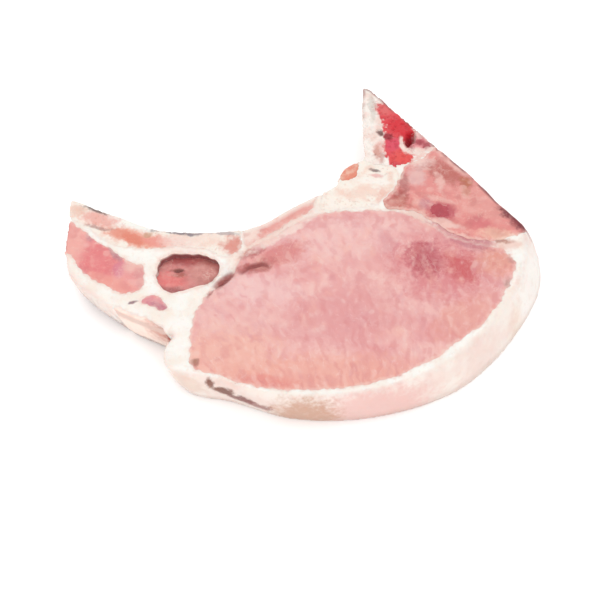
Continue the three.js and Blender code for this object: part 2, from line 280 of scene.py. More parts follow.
# Lobes of red marrow in the backbone, which take their colour from the scene, the reds in them, and spots on
# lobes and shell alike, with a grey stripe of painted shadow on the shell at the tip
MARROW_LOBES = [
    Stain(None, (30.8, 50.4), (11.8, 5.6), -49, 1.0),
    Stain(None, (32.2, 44.0), (6.8, 7.0), 0, 1.0),
    Stain(None, (32.2, 33.0), (5.8, 9.4), 0, 1.0),
    Stain(None, (29.8, 36.0), (4.4, 7.0), 0, 1.0),
]
MARROW_REDS = [
    Stain("e66c6a", (27.4, 55.0), (6.0, 4.4), -49, 0.8),
    Stain("dc1428", (33.4, 45.6), (7.6, 5.4), -40, 1.0),
    Stain("e24560", (30.0, 37.6), (4.4, 5.0), 0, 0.8),
    Stain("ec504a", (33.6, 32.2), (6.4, 5.0), 20, 0.85),
    Stain("d23a48", (31.6, 28.2), (5.0, 2.2), 10, 0.7),
]
MARROW_SPOTS_AND_SHADOW = [
    Stain("fbe2d8", (33.2, 38.0), (1.6, 5.0), 6, 0.9),
    Stain("fbe4da", (35.0, 35.4), (4.2, 1.8), -28, 0.9),
    Stain("a81c30", (36.4, 39.8), (2.4, 5.4), 8, 0.9),
    Stain("eeb0ae", (39.4, 41.0), (4.0, 3.4), -50, 0.7),
    Stain("ea8088", (40.2, 38.2), (4.6, 3.4), -30, 0.85),
    Stain("ac3444", (39.8, 38.8), (1.8, 1.8), -40, 0.9),
    Stain("a83c48", (41.3, 37.4), (1.8, 1.8), 0, 0.85),
    Stain("f0b4aa", (25.2, 35.6), (2.4, 6.4), 0, 0.7),
    Stain("6a3a36", (26.0, 43.4), (1.5, 2.0), 0, 0.9),
    Stain("9c1428", (28.3, 41.6), (2.3, 2.3), 10, 0.95),
    Stain("d59a8c", (24.8, 34.2), (1.5, 5.2), 4, 0.8),
    Stain("c98a80", (26.4, 31.6), (1.3, 3.2), 0, 0.7),
    Stain("f8dcd2", (42.4, 35.2), (6.6, 2.2), 16, 0.85),
    Stain("f3c4ba", (38.6, 31.4), (5.0, 2.2), 26, 0.75),
    # Painted shadow: a grey stripe on the pale shell at the tip
    Stain("d2c8be", (23.0, 54.6), (1.3, 9.0), 2, 0.6),
]
BONE_STAINS = [
    Stain("fffcf5", (-57.5, 4.4), (15.0, 5.0), -16, 0.85),
    Stain("efc6b4", (-74.4, 8.8), (4.4, 4.2), -20, 0.8),
    Stain("f2b0a4", (-67.2, 4.9), (9.0, 4.0), -12, 0.9),
    Stain("f2a994", (-54.0, -3.0), (16.0, 5.0), -18, 0.9),
    Stain("ea957f", (-60.4, -1.0), (5.4, 2.8), -16, 0.8),
    Stain("e5826a", (-55.6, -3.5), (6.4, 3.2), -18, 0.85),
    Stain("f0968a", (-48.2, -4.3), (6.6, 2.6), -12, 0.75),
    Stain("c4a07e", (-50.6, -1.2), (2.2, 1.8), 0, 0.6),
    Stain("f6d2c8", (-41.0, -4.4), (8.0, 4.0), -4, 0.7),
    Stain("f8dccf", (-32.0, -3.4), (8.0, 4.0), 0, 0.6),
    Stain("e08e80", (-21.6, -6.0), (7.0, 6.0), 0, 0.9),
    Stain("6e5450", (-68.9, 9.3), (6.4, 1.5), -23, 0.9),
    Stain("7a6a72", (-41.6, -0.1), (11.0, 1.6), -8, 0.9),
    Stain("a8969a", (-28.5, -0.8), (11.0, 1.1), 1, 0.65),
    Stain("b0847c", (-67.2, 1.8), (6.6, 1.1), -9, 0.7),
    Stain("f8d9ca", (19.3, 16.2), (11.0, 3.2), 0, 0.8),
    Stain("fef6ee", (23.6, 21.2), (9.0, 1.8), 0, 0.9),
    Stain("fdf2e8", (17.0, 10.6), (13.0, 2.0), 0, 0.9),
    Stain("7a5c58", (23.8, 26.2), (2.0, 1.1), -6, 0.85),
    Stain("eeb0ac", (24.0, 23.8), (3.0, 1.3), 0, 0.7),
    Stain("f0b4a4", (27.6, 13.6), (4.4, 7.0), 18, 0.7),
]


def tint(code, share=OWN_SHARE):
    """Linear red, green and blue of a surface that looks like six hexadecimal digits on the stage."""
    parts = [int(code[i:i + 2], 16) / 255 for i in (0, 2, 4)]
    return tuple(share * (p / 12.92 if p <= 0.04045 else ((p + 0.055) / 1.055) ** 2.4) for p in parts)


def size(name, description, default):
    """A length that a user may change, in metres."""
    return FloatProperty(name=name, description=description, default=default, min=0.0, unit="LENGTH",
                         precision=5)


def amount(name, description, default, subtype="NONE"):
    """A number that a user may change, zero or more."""
    return FloatProperty(name=name, description=description, default=default, min=0.0, subtype=subtype)


def hue(name, description, code, share=OWN_SHARE):
    """A colour that a user may change."""
    return FloatVectorProperty(name=name, description=description, default=tint(code, share),
                               min=0.0, max=1.0, size=3, subtype="COLOR")


class ChopShape(bpy.types.PropertyGroup):
    """Sizes of the chop's surface."""

    overlap: size("Overlap", "How far each piece reaches into its neighbours", 0.0007)
    seam_width: size("Seam width", "Width of the dip along a piece's seams", 0.0011)
    foot_round: size("Foot rounding", "Rounding of the outer lower edge", 0.0012)
    foot_seam: size("Foot seams", "Depth of the grooves along the seams of the underside", 0.0002)
    bulge: size("Bulge", "How far the outer wall swells at half its height", 0.0006)
    wander: size("Wander", "How far the outlines waver", 0.0005)
    lump: size("Lump height", "Height of the slow lumps in the surface", 0.0005)
    lump_size: size("Lump size", "Length of the slow lumps in the surface", 0.009)
    seed: IntProperty(name="Seed", description="Start of every random pattern", default=7)


class ChopColours(bpy.types.PropertyGroup):
    """Main colours of the chop."""

    fat: hue("Fat", "White fat at a cut face", "fffcf6")
    fat_cream: hue("Fat, creamy", "Warmer parts of the cut fat", "fbeee2")
    rim: hue("Rim", "Outer wall of the back fat", "faeee5")
    rim_pink: hue("Rim, pink", "Pink parts of the outer wall", "f5ddd4")
    loin: hue("Loin", "Main colour of the loin", "eaa5a3")
    loin_pale: hue("Loin, pale", "Paler parts of the loin", "f3bcb6")
    back: hue("Back muscle", "Muscle beside the backbone", "e8908a")
    flank: hue("Flank muscle", "Muscles of the flank", "ee9a97")
    rib: hue("Rib muscle", "Strip of muscle between rib and loin", "eeaba2")
    dark: hue("Dark muscle", "Sunken oval muscle of the flank", "d98782")
    vein: hue("Vein", "Dark oval in the back muscle", "b93e4b")
    bone: hue("Bone", "Cut face of bone", "fdf3e8")
    joint: hue("Joint", "Face of the rib's joint", "e88a70")
    marrow: hue("Marrow", "Red marrow of the backbone", "e4424a")
    sheet: hue("Flank sheet", "Thin pale muscle under the flank", "fbe2d5", 0.78)


class ChopStage(bpy.types.PropertyGroup):
    """Floor, light and camera."""

    floor: hue("Floor", "Colour of the floor", "f8f7f6", 1.0)
    sky: amount("Sky", "Strength of the even light from all round", 1.25)
    key: amount("Key light", "Power of the soft light from behind and above", 3.0, "POWER")
    fill: amount("Fill light", "Power of the soft light from the front", 6.0, "POWER")
    height: FloatProperty(name="Camera height", description="Angle that the camera looks down at",
                          default=math.radians(52), subtype="ANGLE")
    distance: size("Camera distance", "From the camera to the middle of its view", 0.5259)
    lens: FloatProperty(name="Lens", description="Focal length of the camera, in millimetres", default=100.0,
                        min=1.0)
    aim: FloatVectorProperty(name="Aim", description="Point in the middle of the camera's view",
                             default=(-0.0015, -0.0284, 0.0144), size=3, subtype="TRANSLATION", unit="LENGTH")


# Node trees

def arithmetic(operation, turned=False):
    """A method that adds a Math node, with the other value first if turned."""
    def method(self, other):
        values = (other, self) if turned else (self, other)
        return self.math(operation, *values)
    return method


class Wire:
    """One output in a node tree. Arithmetic on it adds Math nodes to that tree."""

    __add__ = arithmetic("ADD")
    __radd__ = arithmetic("ADD", turned=True)
    __sub__ = arithmetic("SUBTRACT")
    __mul__ = arithmetic("MULTIPLY")
    __rmul__ = arithmetic("MULTIPLY", turned=True)
    __truediv__ = arithmetic("DIVIDE")
    __rtruediv__ = arithmetic("DIVIDE", turned=True)

    def __init__(self, tree, socket):
        self.tree = tree
        self.socket = socket

    def math(self, operation, first, second=None):
        values = {0: first} if second is None else {0: first, 1: second}
        return self.tree.node("ShaderNodeMath", {"operation": operation}, values)

    def __abs__(self):
        return self.math("ABSOLUTE", self)


class Tree:
    """Adds nodes to a shader tree or a geometry tree."""

    def __init__(self, tree):
        self.tree = tree

    def node(self, kind, settings=None, values=None, output=0):
        """A new node: its settings are set first, then its sockets get numbers, colours or wires."""
        node = self.tree.nodes.new(kind)
        for name, value in (settings or {}).items():
            setattr(node, name, value)
        for key, value in (values or {}).items():
            socket = node.inputs[key]
            if isinstance(value, Wire):
                self.tree.links.new(value.socket, socket)
            elif socket.type == "RGBA":
                socket.default_value = (*value[:3], 1.0)
            else:
                socket.default_value = value
        return Wire(self, node.outputs[output]) if node.outputs else None

    def step(self, value, low, high):
        """0 where the value is at low or beyond it, 1 at high, with a soft change between them."""
        settings = {"interpolation_type": "SMOOTHSTEP"}
        return self.node("ShaderNodeMapRange", settings, {"Value": value, "From Min": low, "From Max": high})

    def vector(self, operation, first, second):
        return self.node("ShaderNodeVectorMath", {"operation": operation}, {0: first, 1: second})

    def scaled(self, vector, factor):
        return self.node("ShaderNodeVectorMath", {"operation": "SCALE"}, {0: vector, "Scale": factor})


class Finish(Tree):
    """A material being made. Places and sizes in it are in millimetres."""

    # How stains are displaced: sizes of the patterns, how far they move a place and how far they fray an edge
    DRIFT_SIZE = 7.0
    DRIFT = 5.0
    FRAY_SIZE = 1.7
    FRAY = 1.1
    # Share of a stain's reach where it has its full strength
    STAIN_CORE = 0.4
    # How far red, green and blue light travels under the surface, against each other, and the wet shine
    SCATTER_RADIUS = (1.0, 0.42, 0.3)
    SHINE = 0.32
    COAT_ROUGHNESS = 0.22

    def __init__(self, name, seed):
        self.material = bpy.data.materials.new(name)
        self.material.use_nodes = True
        self.material.node_tree.nodes.clear()
        super().__init__(self.material.node_tree)
        self.seed = seed
        self.place = self.scaled(self.node("ShaderNodeTexCoord", output="Object"), 1 / MM)
        drift = self.noise(self.DRIFT_SIZE, detail=3.0, output=1)
        drift = self.vector("SUBTRACT", drift, (0.5, 0.5, 0.5))
        self.loose = self.vector("ADD", self.place, self.scaled(drift, self.DRIFT))
        self.fray = (self.noise(self.FRAY_SIZE, detail=4.0, rough=0.6, offset=23.0) - 0.5) * self.FRAY

    def attribute(self, name):
        return self.node("ShaderNodeAttribute", {"attribute_name": name}, output="Fac")

    def noise(self, size, where=None, detail=3.0, rough=0.5, output=0, offset=0.0):
        """A cloudy pattern from 0 to 1. Patterns with different offsets are unlike each other."""
        values = {"Vector": where or self.place, "W": self.seed + offset, "Scale": 1 / size,
                  "Detail": detail, "Roughness": rough}
        return self.node("ShaderNodeTexNoise", {"noise_dimensions": "4D"}, values, output)

    def cells(self, size, feature, where=None, output="Distance"):
        values = {"Vector": where or self.place, "Scale": 1 / size}
        return self.node("ShaderNodeTexVoronoi", {"feature": feature}, values, output)

    def blend(self, share, first, second):
        """first where share is 0, second where it is 1."""
        return self.node("ShaderNodeMix", {"data_type": "RGBA"}, {"Factor": share, 6: first, 7: second}, 2)

    def near(self, stain, level=PLAN_LEVEL, depth=STAIN_DEPTH):
        """1 in the middle of a stain, fading to 0 at its reach."""
        values = {
            "Vector": self.loose,
            "Location": (*stain.at, level)[:3],
            "Rotation": (0.0, 0.0, math.radians(stain.turn)),
            "Scale": (*stain.reach, depth)[:3],
        }
        place = self.node("ShaderNodeMapping", {"vector_type": "TEXTURE"}, values)
        away = self.node("ShaderNodeVectorMath", {"operation": "LENGTH"}, {0: place}, "Value")
        return self.step(away + self.fray, 1.0, self.STAIN_CORE)

    def stained(self, colour, stains, level=PLAN_LEVEL, depth=STAIN_DEPTH):
        """The colour with stains laid over it in turn."""
        for stain in stains:
            share = self.near(stain, level, depth) * stain.strength
            colour = self.blend(share, colour, tint(stain.colour))
        return colour

    def masked(self, colour, mask, stain, depth=STAIN_DEPTH):
        """The colour with a stain laid over it where the mask is 1."""
        share = mask * self.near(stain, depth=depth) * stain.strength
        return self.blend(share, colour, tint(stain.colour))

    def patches(self, stains, depth):
        """The strongest share of any of the stains."""
        share = self.near(stains[0], depth=depth) * stains[0].strength
        for stain in stains[1:]:
            share = share.math("MAXIMUM", share, self.near(stain, depth=depth) * stain.strength)
        return share

    def sunken(self):
        """1 in the clefts, with a frayed edge."""
        return self.step(self.attribute("sunk") + 0.8 * self.fray, 0.1, 0.8)

    def roughness(self, low, spread, size):
        """An uneven roughness, from low up by the spread."""
        return low + spread * self.noise(size, offset=6.0)

    def ragged(self, width, size, reach):
        """1 at a seam with another tissue, fading to 0 at an uneven distance from it."""
        uneven = (self.noise(size, detail=3.0, offset=17.0) - 0.5) * reach
        return self.step(self.attribute("seam") + uneven, width, 0.0)

    def brink(self, width, size):
        """1 at the free edge of the upper face, in broken stretches, fading to 0 at a distance from it."""
        broken = self.step(self.noise(size, offset=19.0), 0.32, 0.5)
        upper = self.step(self.attribute("down"), 0.2, 0.04)
        edge = self.step(self.attribute("inset"), width, width * 0.2) * self.attribute("outer")
        return edge * broken * upper

    def flecks(self, size, low, where=None):
        """1 in small uneven specks."""
        return self.step(self.noise(size, where, detail=2.0, offset=21.0), low, low + 0.08)

    def fanned(self, centre, distance, stretch):
        """Places in a pattern of rays from a centre: out along the rays shortened, across them, and up."""
        middle = self.vector("SUBTRACT", self.loose, (*centre, 0.0))
        x, y, z = (self.node("ShaderNodeSeparateXYZ", values={0: middle}, output=axis) for axis in range(3))
        out = self.node("ShaderNodeVectorMath", {"operation": "LENGTH"}, {0: middle}, "Value")
        across = x.math("ARCTAN2", x, y) * distance
        return self.node("ShaderNodeCombineXYZ", values={0: out / stretch, 1: across, 2: z})

    def bundles(self, colour, size, pale, deep, contrast, where=None):
        """Fibre bundles: some paler and some deeper in colour than the rest, with pale threads between."""
        mosaic = self.cells(size, "SMOOTH_F1", where, "Color")
        level = self.node("ShaderNodeSeparateColor", values={0: mosaic})
        level = level * 0.6 + self.noise(size * 2.2, where, detail=2.0, offset=3.0) * 0.4
        colour = self.blend(self.step(level, 0.5, 0.85) * contrast, colour, pale)
        colour = self.blend(self.step(level, 0.5, 0.15) * contrast, colour, deep)
        broken = self.step(self.noise(size * 3.0, offset=5.0), 0.42, 0.7)
        thread = self.step(self.cells(size, "DISTANCE_TO_EDGE", where), 0.12, 0.02) * broken
        return self.blend(thread * (contrast * 0.4), colour, pale)

    def marbled(self, colour, fat, size, width, share, where=None):
        """Thin broken veins of fat."""
        ridge = abs(self.noise(size, where, detail=4.0, rough=0.55, offset=11.0) - 0.5)
        broken = self.step(self.noise(size * 1.4, offset=13.0), 0.5, 0.72)
        return self.blend(self.step(ridge, width, 0.0) * broken * share, colour, fat)

    def bump(self, height, distance, strength):
        values = {"Height": height, "Distance": distance * MM, "Strength": strength}
        return self.node("ShaderNodeBump", values=values)

    def done(self, colour, rough, normal, scatter, reach, moist):
        """Joins the surface to the output. scatter is the share of light that enters, reach how far."""
        values = {
            "Base Color": colour,
            "Roughness": rough,
            "Normal": normal,
            "Subsurface Weight": scatter,
            "Subsurface Radius": self.SCATTER_RADIUS,
            "Subsurface Scale": reach * MM,
            "Specular IOR Level": self.SHINE,
            "Coat Weight": moist,
            "Coat Roughness": self.COAT_ROUGHNESS,
        }
        surface = self.node("ShaderNodeBsdfPrincipled", values=values)
        self.node("ShaderNodeOutputMaterial", values={"Surface": surface})
        return self.material


# Outlines and meshes

def welded(node):
    """A copy of a node's mesh with its triangles joined."""
    shape = bmesh.new()
    shape.from_mesh(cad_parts[node].data)
    bmesh.ops.remove_doubles(shape, verts=shape.verts, dist=1e-6)
    return shape


def section(node, height):
    """Closed outlines, in millimetres, where a level plane cuts a node."""
    shape = welded(node)
    parts = shape.verts[:] + shape.edges[:] + shape.faces[:]
    cut = bmesh.ops.bisect_plane(shape, geom=parts, plane_co=(0, 0, height * MM), plane_no=(0, 0, 1))
    ways = {}
    for part in cut["geom_cut"]:
        if isinstance(part, bmesh.types.BMEdge):
            first, second = part.verts
            ways.setdefault(first, []).append(second)
            ways.setdefault(second, []).append(first)
    loops = []
    while ways:
        here = next(iter(ways))
        loop = []
        while here is not None:
            onward = ways.pop(here)
            loop.append((here.co.x / MM, here.co.y / MM))
            here = next((vert for vert in onward if vert in ways), None)
        loops.append(np.array(loop))
    shape.free()
    return loops


def evenly(loop, spacing):
    """A closed outline with its points a spacing apart."""
    closed = np.vstack([loop, loop[:1]])
    lengths = np.linalg.norm(np.diff(closed, axis=0), axis=1)
    along = np.concatenate([[0.0], np.cumsum(lengths)])
    count = max(8, round(along[-1] / spacing))
    places = np.arange(count) * along[-1] / count
    return np.stack([np.interp(places, along, closed[:, axis]) for axis in (0, 1)], axis=1)


def area(loop):
    """The area inside an outline, more than zero if it runs counter-clockwise."""
    following = np.roll(loop, -1, axis=0)
    return 0.5 * np.sum(loop[:, 0] * following[:, 1] - following[:, 0] * loop[:, 1])


def softened(loop, rounds):
    """A closed outline with its corners rounded off."""
    for _ in range(rounds):
        loop = 0.5 * loop + 0.25 * (np.roll(loop, 1, axis=0) + np.roll(loop, -1, axis=0))
    return loop


def outward(loop):
    """Unit vectors out of the material, which lies on the outline's left."""
    along = np.roll(loop, -1, axis=0) - np.roll(loop, 1, axis=0)
    along /= np.linalg.norm(along, axis=1)[:, None]
    return np.stack([along[:, 1], -along[:, 0]], axis=1)


def turns(points, loops):
    """How many times the outlines go round each point."""
    x, y = points.T
    count = np.zeros(len(points), int)
    for loop in loops:
        for (ax, ay), (bx, by) in zip(loop, np.roll(loop, -1, axis=0)):
            level = np.flatnonzero((np.minimum(ay, by) <= y) & (y < np.maximum(ay, by)))
            side = (bx - ax) * (y[level] - ay) - (x[level] - ax) * (by - ay)
            count[level] += ((by > ay) & (side > 0)).astype(int) - ((by < ay) & (side < 0)).astype(int)
    return count


def nearest(points, targets):
    """Distance from each point to the nearest target, and which target that is."""
    search = KDTree(len(targets))
    for index, target in enumerate(targets):
        search.insert((*target, 0.0), index)
    search.balance()
    found = [search.find((*point, 0.0)) for point in points]
    return np.array([f[2] for f in found]), np.array([f[1] for f in found])


def smooth_step(value, low, high):
    """0 up to low, 1 from high on, with a soft change between them."""
    share = np.clip((value - low) / (high - low), 0.0, 1.0)
    return share * share * (3 - 2 * share)


class Plan:
    """Outlines of all nodes on the upper face, and the lean of their walls for each millimetre of height."""

    ROUNDS = 8
    SPACING = 0.45
    # Nodes whose outlines come this close, in millimetres, are neighbours.
    CLOSE = 1.6
    # Added to each distance, in millimetres, so that no neighbour outweighs all others at its own outline
    BLUNT = 0.3

    def __init__(self):
        low, high = (evenly(section("loin_eye", level)[0], self.SPACING).mean(axis=0)
                     for level in (LOW_SECTION, HIGH_SECTION))
        self.lean = (high - low) / (HIGH_SECTION - LOW_SECTION)
        self.loops = {node: self.outlines(node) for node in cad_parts}
        self.rims = {node: np.vstack(loops) for node, loops in self.loops.items()}
        self.solids = {node: self.solid(node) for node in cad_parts}
        self.levels = {node: self.rim_levels(node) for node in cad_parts}

    def outlines(self, node):
        """A node's outlines on the upper face, the outer one counter-clockwise and any others clockwise."""
        loops = sorted(section(node, LOW_SECTION), key=lambda loop: -abs(area(loop)))
        made = []
        for index, loop in enumerate(loops):
            turned = (area(loop) < 0) != (index > 0)
            loop = evenly(loop[::-1] if turned else loop, self.SPACING)
            made.append(softened(loop, self.ROUNDS) + self.lean * (PLAN_LEVEL - LOW_SECTION))
        return made

    def others(self, *nodes):
        return np.vstack([rim for name, rim in self.rims.items() if name not in nodes])

    @staticmethod
    def solid(node):
        """A node's mesh, ready to be searched along a line."""
        shape = welded(node)
        found = BVHTree.FromBMesh(shape)
        shape.free()
        return found

    def cast(self, node, points):
        """Height of a node's upper face at places on the plan, and no number where it has none."""
        down = Vector((*-self.lean, -1.0)).normalized()
        height = np.full(len(points), np.nan)
        for index, (x, y) in enumerate(points + self.lean * (ABOVE - PLAN_LEVEL)):
            hit = self.solids[node].ray_cast(Vector((x, y, ABOVE)) * MM, down)[0]
            if hit and hit.z > LOWEST_FACE * MM:
                height[index] = hit.z / MM
        return height

    def rim_levels(self, node):
        """Heights of a node's upper face just inside its outlines."""
        levels = []
        for loop in self.loops[node]:
            level = self.cast(node, loop - LEVEL_INSIDE * outward(loop))
            known = np.flatnonzero(~np.isnan(level))
            levels.append(np.interp(np.arange(len(loop)), known, level[known], period=len(loop)))
        return np.concatenate(levels)

    def meeting(self, node, points):
        """How far a node's face moves at each point to meet its neighbours' faces halfway."""
        own = self.levels[node][nearest(points, self.rims[node])[1]]
        total = np.zeros(len(points))
        weights = np.full(len(points), 1e-9)
        closest = np.full(len(points), LEVEL_REACH)
        for other in self.rims:
            if other == node or SUNKEN in (node, other):
                continue
            if nearest(self.rims[other], self.rims[node])[0].min() > self.CLOSE:
                continue
            away, near = nearest(points, self.rims[other])
            weight = np.clip(1 - away / LEVEL_REACH, 0.0, 1.0) ** 2 / (away + self.BLUNT)
            total += weight * 0.5 * (self.levels[other][near] - own)
            weights += weight
            closest = np.minimum(closest, away)
        return total / weights * (1 - smooth_step(closest, 0.0, LEVEL_REACH))


class Sheet:
    """A node's face as triangles on the plan, with what each point needs to know about its place."""

    # Distances to another node's outline, in millimetres: an edge is a seam up to the first, and free from
    # the second.
    SEAM = 0.5
    FREE = 1.6
    # Share of the spacing that the points inside keep from the outline
    CLEAR = 0.55

    def __init__(self, plan, node, surface, overlap):
        self.plan = plan
        self.node = node
        others = plan.others(node)
        loops = [self.reaching(evenly(loop, surface.grid), others, overlap) for loop in plan.loops[node]]
        self.points, self.triangles = self.filled(loops, surface.grid)
        self.sides = np.vstack([self.triangles[:, pair] for pair in ((0, 1), (1, 2), (2, 0))])
        count = len(self.points)
        forward = self.sides[:, 0] * count + self.sides[:, 1]
        backward = self.sides[:, 1] * count + self.sides[:, 0]
        self.border = self.sides[~np.isin(forward, backward)]
        self.edge = np.unique(self.border)
        self.out = self.outwards()
        self.inset, near = nearest(self.points, self.points[self.edge])
        self.free = smooth_step(nearest(self.points[self.edge], others)[0], self.SEAM, self.FREE)[near]
        fatty = plan.others(*JOINED) if node in JOINED else others
        self.seam = nearest(self.points, fatty)[0]

    def reaching(self, loop, others, overlap):
        """An outline moved into the neighbours that it faces."""
        away, near = nearest(loop, others)
        out = outward(loop)
        facing = np.sum((others[near] - loop) * out, axis=1) / np.maximum(away, 1e-6)
        reach = overlap * (1 - smooth_step(away, self.SEAM, self.FREE)) * np.clip(facing, 0.0, 1.0)
        return loop + reach[:, None] * out

    def filled(self, loops, spacing):
        """Triangles that fill the outlines, with points about a spacing apart."""
        outline = np.vstack(loops)
        low = outline.min(axis=0)
        high = outline.max(axis=0)
        rows = np.arange(low[1], high[1], spacing * math.sqrt(0.75))
        columns = np.arange(low[0], high[0], spacing)
        grid = np.array([(x + (index % 2) * spacing / 2, y) for index, y in enumerate(rows) for x in columns])
        grid = grid[turns(grid, loops) > 0]
        grid = grid[nearest(grid, outline)[0] > self.CLEAR * spacing]
        edges = []
        start = 0
        for loop in loops:
            count = len(loop)
            edges += [(start + i, start + (i + 1) % count) for i in range(count)]
            start += count
        made = delaunay_2d_cdt([Vector(point) for point in np.vstack([outline, grid])], edges, [], 0, 1e-6)
        points = np.array([tuple(point) for point in made[0]])
        triangles = np.array(made[2])
        inside = turns(points[triangles].mean(axis=1), loops) > 0
        return points, triangles[inside]

    def outwards(self):
        """Unit vectors out of the material at the points on its edge, and nothing elsewhere."""
        out = np.zeros_like(self.points)
        along = self.points[self.border[:, 1]] - self.points[self.border[:, 0]]
        normal = np.stack([along[:, 1], -along[:, 0]], axis=1)
        for end in (0, 1):
            np.add.at(out, self.border[:, end], normal)
        length = np.linalg.norm(out, axis=1)[:, None]
        return np.divide(out, length, out=np.zeros_like(out), where=length > 0)

    def around(self, values, weights):
        """Weighted mean of each point's neighbours, and the sum of their weights."""
        count = len(self.points)
        ends = np.vstack([self.sides, self.sides[:, ::-1]])
        total = np.bincount(ends[:, 0], weights=(values * weights)[ends[:, 1]], minlength=count)
        weight = np.bincount(ends[:, 0], weights=weights[ends[:, 1]], minlength=count)
        return np.divide(total, weight, out=values.copy(), where=weight > 0), weight

    def heights(self, rounds):
        """Height of the solid's upper face at each point, levelled at the seams, with its facets smoothed."""
        height = self.plan.cast(self.node, self.points)
        known = np.where(np.isnan(height), 0.0, 1.0)
        height = np.nan_to_num(height)
        used = np.isin(np.arange(len(height)), self.triangles)
        while known[used].min() < 1:
            mean, weight = self.around(height, known)
            fresh = (known == 0) & (weight > 0)
            if not fresh.any():
                raise RuntimeError(f"{self.node} has points with no face above them")
            height[fresh] = mean[fresh]
            known[fresh] = 1.0
        height += self.plan.meeting(self.node, self.points)
        for _ in range(rounds):
            height = 0.5 * height + 0.5 * self.around(height, known)[0]
        return height


def cleft_depth(points):
    """How deep the clefts go at each point."""
    depth = np.zeros(len(points))
    for cleft in CLEFTS:
        path = np.array(cleft.path)
        away = np.full(len(points), np.inf)
        along_path = np.zeros(len(points))
        travelled = 0.0
        for first, second in zip(path[:-1], path[1:]):
            along = second - first
            length = np.linalg.norm(along)
            share = np.clip((points - first) @ along / length ** 2, 0.0, 1.0)
            reach = np.linalg.norm(points - first - share[:, None] * along, axis=1)
            away = np.minimum(away, reach)
            along_path = np.where(away == reach, travelled + share * length, along_path)
            travelled += length
        taper = np.sqrt(np.clip(np.sin(np.pi * along_path / travelled), 0.0, 1.0))
        depth = np.maximum(depth, cleft.depth * taper * np.exp(-((away / cleft.width) ** 2)))
    return depth


def wandered(points, reach):
    """Places moved a little, the same way for every piece, so that no outline is quite even."""
    x, y = points.T
    side = np.sin(x / 2.1 + 0.7 * np.sin(y / 3.3))
    side += 0.6 * np.sin(y / 1.4 + x / 3.7)
    side += 0.5 * np.sin(y / 0.6 + x)
    ahead = np.sin(y / 1.9 + 0.8 * np.sin(x / 2.9))
    ahead += 0.6 * np.sin(x / 1.3 - y / 4.1)
    ahead += 0.5 * np.sin(x / 0.6 - y)
    return points + 0.6 * np.reshape(reach, (-1, 1)) * np.stack([side, ahead], axis=1)


def quarter_round(inset, radius):
    """How far a rounded edge falls away, from its own edge inwards."""
    share = np.clip(1 - inset / np.maximum(radius, 1e-6), 0.0, 1.0)
    return radius * (1 - np.sqrt(1 - share * share))


def piece_mesh(plan, node, surface, shape):
    """A closed mesh for a node: its upper face, its wall in rows, and its underside."""
    sheet = Sheet(plan, node, surface, shape.overlap / MM)
    points, edge = sheet.points, sheet.edge
    every, rim = np.ones(len(points)), np.ones(len(edge))
    sunk = cleft_depth(wandered(points, CLEFT_WANDER))
    top = sheet.heights(surface.rounds) - sunk
    if node == SUNKEN:
        top -= SUNKEN_FALL * (points[:, 1] - points[edge, 1].mean())
    else:
        top -= quarter_round(nearest(points, plan.rims[SUNKEN])[0], HOLLOW_ROUND * every)
    groove = (1 - smooth_step(sheet.inset, 0.0, shape.seam_width / MM)) * (1 - sheet.free)
    top -= surface.seam * groove
    top -= quarter_round(sheet.inset, surface.rim * sheet.free)
    bottom = quarter_round(sheet.inset, shape.foot_round / MM * sheet.free) + shape.foot_seam / MM * groove

    # Each layer: places on the plan, heights, share of the way down, wall, outer wall, how far relief may
    # move it, cleft depth
    layers = [(points, top, 0 * every, 0 * every, sheet.free, every, sunk)]
    for row in range(1, surface.rows):
        share = row / surface.rows
        swell = shape.bulge / MM * math.sin(math.pi * share) * sheet.free[edge]
        height = top[edge] + share * (bottom[edge] - top[edge])
        outer = sheet.free[edge]
        loose = outer * (1 - smooth_step(share, RELIEF_FADE, 1.0))
        spots = points[edge] + swell[:, None] * sheet.out[edge]
        layers.append((spots, height, share * rim, rim, outer, loose, 0 * rim))
    layers.append((points, bottom, every, 0 * every, sheet.free, 0 * every, 0 * every))
    spots, height, down, wall, outer, loose, sunk = (np.concatenate(column) for column in zip(*layers))
    spots = wandered(spots, shape.wander / MM * (1 - outer)) + plan.lean * (height - PLAN_LEVEL)[:, None]

    first_wall = len(points)
    last_sheet = first_wall + (surface.rows - 1) * len(edge)
    rows = [edge]
    rows += [first_wall + row * len(edge) + np.arange(len(edge)) for row in range(surface.rows - 1)]
    rows.append(last_sheet + edge)
    first, second = (np.searchsorted(edge, sheet.border[:, end]) for end in (0, 1))
    faces = sheet.triangles.tolist() + (sheet.triangles[:, ::-1] + last_sheet).tolist()
    for upper, lower in zip(rows[:-1], rows[1:]):
        faces += np.stack([upper[second], upper[first], lower[first], lower[second]], axis=1).tolist()

    mesh = bpy.data.meshes.new(node)
    mesh.from_pydata((np.column_stack([spots, height]) * MM).tolist(), [], faces)
    facts = {"down": down, "wall": wall, "outer": outer, "loose": loose, "sunk": sunk}
    for name, fact in (("seam", sheet.seam), ("inset", sheet.inset)):
        facts[name] = np.concatenate([fact] + [fact[edge]] * (surface.rows - 1) + [fact])
    for name, values in facts.items():
        mesh.attributes.new(name, "FLOAT", "POINT").data.foreach_set("value", values.astype(np.float32))
    return mesh


# Relief and pieces

@lru_cache(maxsize=None)
def chop_plan():
    return Plan()


